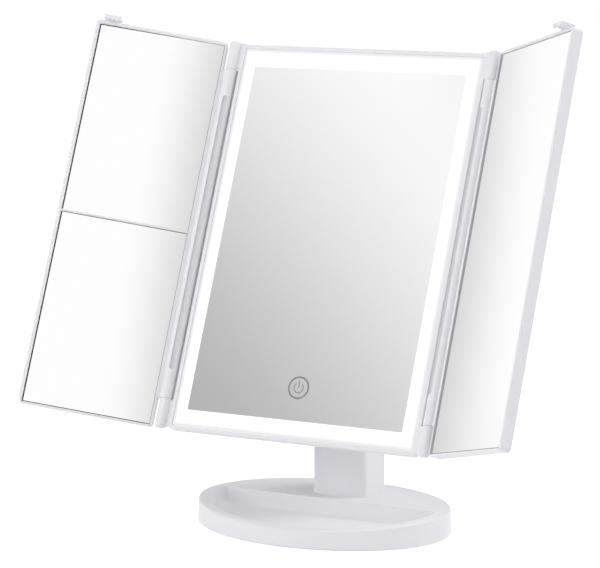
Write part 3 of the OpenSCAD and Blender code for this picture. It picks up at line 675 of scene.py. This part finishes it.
def own_place():
    """Each point's own coordinates."""
    node = add(screw_tree, "ShaderNodeSeparateXYZ")
    join(screw_tree, add(screw_tree, "GeometryNodeInputPosition").outputs[0], node.inputs[0])
    return node.outputs


# %% [markdown]
# The head is a ball whose lower half is pressed flat and whose upper half is drawn to the head's height. A
# power below one makes its shoulders full, as a pan head's are.

# %% Pan head
PAN_FULLNESS = 0.42
HEAD_STEPS = {"Segments": 32, "Rings": 16, "Radius": 1.0}
ball = add(screw_tree, "GeometryNodeMeshUVSphere", HEAD_STEPS)
x, y, z = own_place()
crown = math_node(screw_tree, "POWER", math_node(screw_tree, "MAXIMUM", z, 0.0), PAN_FULLNESS)
head = moved(
    ball.outputs["Mesh"],
    combine(
        math_node(screw_tree, "MULTIPLY", x, sizes["Head Radius"]),
        math_node(screw_tree, "MULTIPLY", y, sizes["Head Radius"]),
        math_node(screw_tree, "MULTIPLY", crown, sizes["Head Height"]),
    ),
)
print("head of", HEAD_STEPS["Segments"], "by", HEAD_STEPS["Rings"], "steps")

# %% [markdown]
# The recess is cut by two crossed bars that narrow towards their foot, as the driver's tip does. The exact
# solver with Self Intersection takes the two bars as one cutter.

# %% Cross recess
RECESS_TAPER = 0.4
cut = add(screw_tree, "GeometryNodeMeshBoolean", operation="DIFFERENCE", solver="EXACT")
cut.inputs["Self Intersection"].default_value = True
join(screw_tree, head, cut.inputs["Mesh 1"])
twice_deep = math_node(screw_tree, "MULTIPLY", sizes["Recess Depth"], 2.0)
for along, across in (("Recess Span", "Recess Width"), ("Recess Width", "Recess Span")):
    arm = add(screw_tree, "GeometryNodeMeshCube")
    join(screw_tree, combine(sizes[along], sizes[across], twice_deep), arm.inputs["Size"])
    x, y, z = own_place()
    depth = math_node(screw_tree, "DIVIDE", z, sizes["Recess Depth"])
    taper = math_node(screw_tree, "ADD", math_node(screw_tree, "MULTIPLY", depth, RECESS_TAPER), 1.0)
    tapered = moved(
        arm.outputs["Mesh"],
        combine(
            math_node(screw_tree, "MULTIPLY", x, taper),
            math_node(screw_tree, "MULTIPLY", y, taper),
            math_node(screw_tree, "ADD", z, sizes["Head Height"]),
        ),
    )
    join(screw_tree, tapered, cut.inputs["Mesh 2"])
print("recess of", len(cut.inputs["Mesh 2"].links), "bars")

# %% [markdown]
# The shank is a plain cylinder from the seat down: its thread is hidden in the boss that it holds.

# %% Shank
SHANK_SIDES = 20
shank = add(screw_tree, "GeometryNodeMeshCylinder", {"Vertices": SHANK_SIDES})
join(screw_tree, sizes["Shank Radius"], shank.inputs["Radius"])
join(screw_tree, sizes["Shank Length"], shank.inputs["Depth"])
half_down = math_node(screw_tree, "MULTIPLY", sizes["Shank Length"], -0.5)
shank_down = moved(shank.outputs["Mesh"], offset=combine(0.0, 0.0, half_down))
one_screw = add(screw_tree, "GeometryNodeJoinGeometry")
join(screw_tree, shank_down, one_screw.inputs[0])
join(screw_tree, cut.outputs["Mesh"], one_screw.inputs[0])
print("shank of", SHANK_SIDES, "sides")

# %% [markdown]
# One screw is then set on every place, facing out of its wall, and turned by chance about its axis, as a
# driver leaves it. The seed is fixed, so the chance is the same on each run.

# %% Set the screws on their places
TURN_SEED = 7
facing = add(screw_tree, "FunctionNodeAlignRotationToVector", axis="Z")
join(screw_tree, sizes["Facing"], facing.inputs["Vector"])
chance = add(screw_tree, "FunctionNodeRandomValue", data_type="FLOAT")
chance.inputs["Max"].default_value = math.pi / 2
chance.inputs["Seed"].default_value = TURN_SEED
spin = add(screw_tree, "FunctionNodeEulerToRotation")
join(screw_tree, combine(0.0, 0.0, chance.outputs["Value"]), spin.inputs[0])
turn = add(screw_tree, "FunctionNodeRotateRotation", rotation_space="LOCAL")
join(screw_tree, facing.outputs[0], turn.inputs["Rotation"])
join(screw_tree, spin.outputs[0], turn.inputs["Rotate By"])
placed = add(screw_tree, "GeometryNodeInstanceOnPoints")
join(screw_tree, sizes["Places"], placed.inputs["Points"])
join(screw_tree, one_screw.outputs[0], placed.inputs["Instance"])
join(screw_tree, turn.outputs[0], placed.inputs["Rotation"])
real = add(screw_tree, "GeometryNodeRealizeInstances")
join(screw_tree, placed.outputs[0], real.inputs["Geometry"])
plate = add(screw_tree, "GeometryNodeSetMaterial")
join(screw_tree, real.outputs[0], plate.inputs["Geometry"])
join(screw_tree, sizes["Finish"], plate.inputs["Material"])
join(screw_tree, plate.outputs[0], end.inputs["Screws"])
print(len(screw_tree.nodes), "nodes make the screws")

# %% [markdown]
# The places and sizes are read from the construction's own screws: a copy is merged, each loose part of it
# is one screw, and its reach along and round its axis gives head, shank and seat. The points are taken in
# their own order, because a set has none that lasts, and the screws' turns would differ from run to run.

# %% Read the construction's screws
SAME_HEIGHT = 0.02 * MM
RIM_OF_HEAD = 0.9


def loose_parts(node):
    """The separate lumps of a construction piece, each a list of points."""
    mesh = bmesh.new()
    mesh.from_mesh(cad_nodes[node].data)
    bmesh.ops.remove_doubles(mesh, verts=mesh.verts, dist=SAME_PLACE)
    taken = set()
    parts = []
    for first in mesh.verts:
        if first in taken:
            continue
        taken.add(first)
        part, waiting = [], [first]
        while waiting:
            point = waiting.pop()
            part.append(point.co.copy())
            near = [edge.other_vert(point) for edge in point.link_edges]
            fresh = [other for other in near if other not in taken]
            taken.update(fresh)
            waiting.extend(fresh)
        parts.append(part)
    mesh.free()
    return parts


def measure_screw(points, facing):
    """Seat of the head, head radius and height, shank radius and length of one screw."""
    heights = [point.dot(facing) for point in points]
    top, tip = max(heights), min(heights)
    head_ring = [p for p, h in zip(points, heights) if top - h < SAME_HEIGHT]
    centre = sum(head_ring, Vector()) / len(head_ring)
    centre = centre - facing * (centre.dot(facing) - top)

    def off_axis(point):
        away = point - centre
        return (away - facing * away.dot(facing)).length

    head_radius = max(off_axis(point) for point in points)
    low_of_head = min(h for p, h in zip(points, heights) if off_axis(p) > RIM_OF_HEAD * head_radius)
    shank_radius = max(off_axis(p) for p, h in zip(points, heights) if h - tip < SAME_HEIGHT)
    head_height = top - low_of_head
    return centre - facing * head_height, head_radius, head_height, shank_radius, low_of_head - tip


print("screws found:", sum(len(loose_parts(n)) for n in cad_nodes if n.endswith("_screws")))

# %% [markdown]
# For each set of screws the seats become the points of a mesh, the tree turns them into screws, and the
# result is taken as a plain mesh that rides on the construction's body and stands for the plain screws. The
# two screws under the neck's foot are never seen and stay plain.

# %% Make the screws
RECESS_SPAN_SHARE = 1.15
RECESS_WIDTH_SHARE = 0.24
RECESS_DEPTH_SHARE = 0.72


def make_screws(node, body, facing):
    """Replaces the construction's plain screws with cross-recess ones."""
    measured = [measure_screw(points, facing) for points in loose_parts(node)]
    seats = [row[0] for row in measured]
    _, head_radius, head_height, shank_radius, shank_length = measured[0]
    mesh = bpy.data.meshes.new(node + "_seats")
    mesh.from_pydata([tuple(seat) for seat in seats], [], [])
    piece = bpy.data.objects.new("cross_" + node, mesh)
    bpy.context.scene.collection.objects.link(piece)
    modifier = piece.modifiers.new("screws", "NODES")
    modifier.node_group = screw_tree
    values = {
        "Head Radius": head_radius,
        "Head Height": head_height,
        "Shank Radius": shank_radius,
        "Shank Length": shank_length,
        "Recess Span": head_radius * RECESS_SPAN_SHARE,
        "Recess Width": head_radius * RECESS_WIDTH_SHARE,
        "Recess Depth": head_height * RECESS_DEPTH_SHARE,
        "Facing": facing,
        "Finish": zinc_steel,
    }
    for socket in screw_tree.interface.items_tree:
        if socket.in_out == "INPUT" and socket.name in values:
            modifier[socket.identifier] = values[socket.name]
    whole = piece.evaluated_get(bpy.context.evaluated_depsgraph_get())
    made = bpy.data.meshes.new_from_object(whole)
    piece.modifiers.remove(modifier)
    piece.data = made
    made.name = piece.name
    made.polygons.foreach_set("use_smooth", [True] * len(made.polygons))
    made.set_sharp_from_angle(angle=FACET_ANGLE)
    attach(piece, body)
    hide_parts(node)
    size = f"head {head_radius / MM:.1f} x {head_height / MM:.1f} mm"
    print(node, len(seats), size, len(made.polygons), "faces")
    return piece


screws = [
    make_screws("base_screws", "base", Vector((0, 0, -1))),
    make_screws("neck_cover_screws", "base", Vector((0, 1, 0))),
    make_screws("rear_cover_screws", "panel", -OUT_OF_PANEL),
    make_screws("bracket_screws", "panel", -OUT_OF_PANEL),
]

# %% [markdown]
# ## The touch mark
# The key is printed on the glass: a ring with the usual power sign in it. It has no relief that a finger
# would feel, so its ring, arc and bar are flat shapes a few hundredths of a millimetre thick.

# %% Sizes of the touch mark
TOUCH_UP = 32.95 * MM
TOUCH_ACROSS = -0.4 * MM
RING_RADIUS = 6.4 * MM
RING_STROKE = 1.05 * MM
RING_STEPS = 96
SIGN_RADIUS = 3.05 * MM
SIGN_STROKE = 0.6 * MM
SIGN_OPENING = 38
SIGN_STEPS = 48
BAR_LOW, BAR_HIGH = 0.2 * MM, 4.5 * MM
PRINT_THICK = 0.04 * MM
print(f"touch mark {(2 * RING_RADIUS + RING_STROKE) / MM:.1f} mm across")

# %% [markdown]
# A stroke of the print is a band of small boxes. Going round a full circle, the last box joins the first;
# an arc gets an end face at both ends.

# %% Strokes of the print


def on_key(across, up, proud):
    """A point of the printed key, measured from its middle."""
    return on_glass(TOUCH_ACROSS + across, TOUCH_UP + up, proud)


def flat_arc(mesh, radius, stroke, start_deg, end_deg, steps):
    """A flat ring or arc with square ends, extruded by the print's thickness."""
    full = end_deg - start_deg >= 360
    rows = []
    for step in range(steps if full else steps + 1):
        angle = math.radians(start_deg + (end_deg - start_deg) * step / steps)
        row = []
        for away in (radius - stroke / 2, radius + stroke / 2):
            for proud in (0.0, PRINT_THICK):
                point = on_key(away * math.sin(angle), away * math.cos(angle), proud)
                row.append(mesh.verts.new(point))
        rows.append(row)
    pairs = list(zip(rows, rows[1:] + rows[:1])) if full else list(zip(rows, rows[1:]))
    for a, b in pairs:
        for i, j in ((0, 1), (1, 3), (3, 2), (2, 0)):
            mesh.faces.new((a[i], a[j], b[j], b[i]))
    if not full:
        mesh.faces.new((rows[0][0], rows[0][2], rows[0][3], rows[0][1]))
        mesh.faces.new((rows[-1][0], rows[-1][1], rows[-1][3], rows[-1][2]))


def flat_bar(mesh, half, low, high):
    """A flat upright bar of the print's thickness."""
    corners = [(-half, low), (half, low), (half, high), (-half, high)]
    under = [mesh.verts.new(on_key(x, y, 0.0)) for x, y in corners]
    over = [mesh.verts.new(on_key(x, y, PRINT_THICK)) for x, y in corners]
    mesh.faces.new(under)
    mesh.faces.new(over)
    for i in range(4):
        j = (i + 1) % 4
        mesh.faces.new((under[i], under[j], over[j], over[i]))


# %% [markdown]
# The ink is a plain matt grey with the finest grain, so that the print stays quiet on the glass.

# %% Print the touch mark
INK = (0.24, 0.24, 0.245)
touch_ink = moulded("printed_grey", INK, 0.5, 0.4 * MM, 0.004 * MM, drift=0.05)
mark = bmesh.new()
flat_arc(mark, RING_RADIUS, RING_STROKE, 0, 360, RING_STEPS)
flat_arc(mark, SIGN_RADIUS, SIGN_STROKE, SIGN_OPENING, 360 - SIGN_OPENING, SIGN_STEPS)
flat_bar(mark, SIGN_STROKE / 2, BAR_LOW, BAR_HIGH)
bmesh.ops.recalc_face_normals(mark, faces=mark.faces)
touch_mesh = bpy.data.meshes.new("touch_mark")
mark.to_mesh(touch_mesh)
mark.free()
touch_mesh.materials.append(touch_ink)
touch_mark = bpy.data.objects.new("touch_mark", touch_mesh)
bpy.context.scene.collection.objects.link(touch_mark)
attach(touch_mark, "panel")
print("touch mark", len(touch_mesh.polygons), "faces")

# %% [markdown]
# ## A clean reflection
# In a product picture the mirrors show an empty studio and no neighbour. The pieces are therefore hidden
# from glossy rays, and only the room and the floor are left to reflect.

# %% Keep the pieces out of the reflections
quiet = [*cad_nodes.values(), *screws, touch_mark]
for piece in quiet:
    piece.visible_glossy = False
print(len(quiet), "pieces out of the reflections")
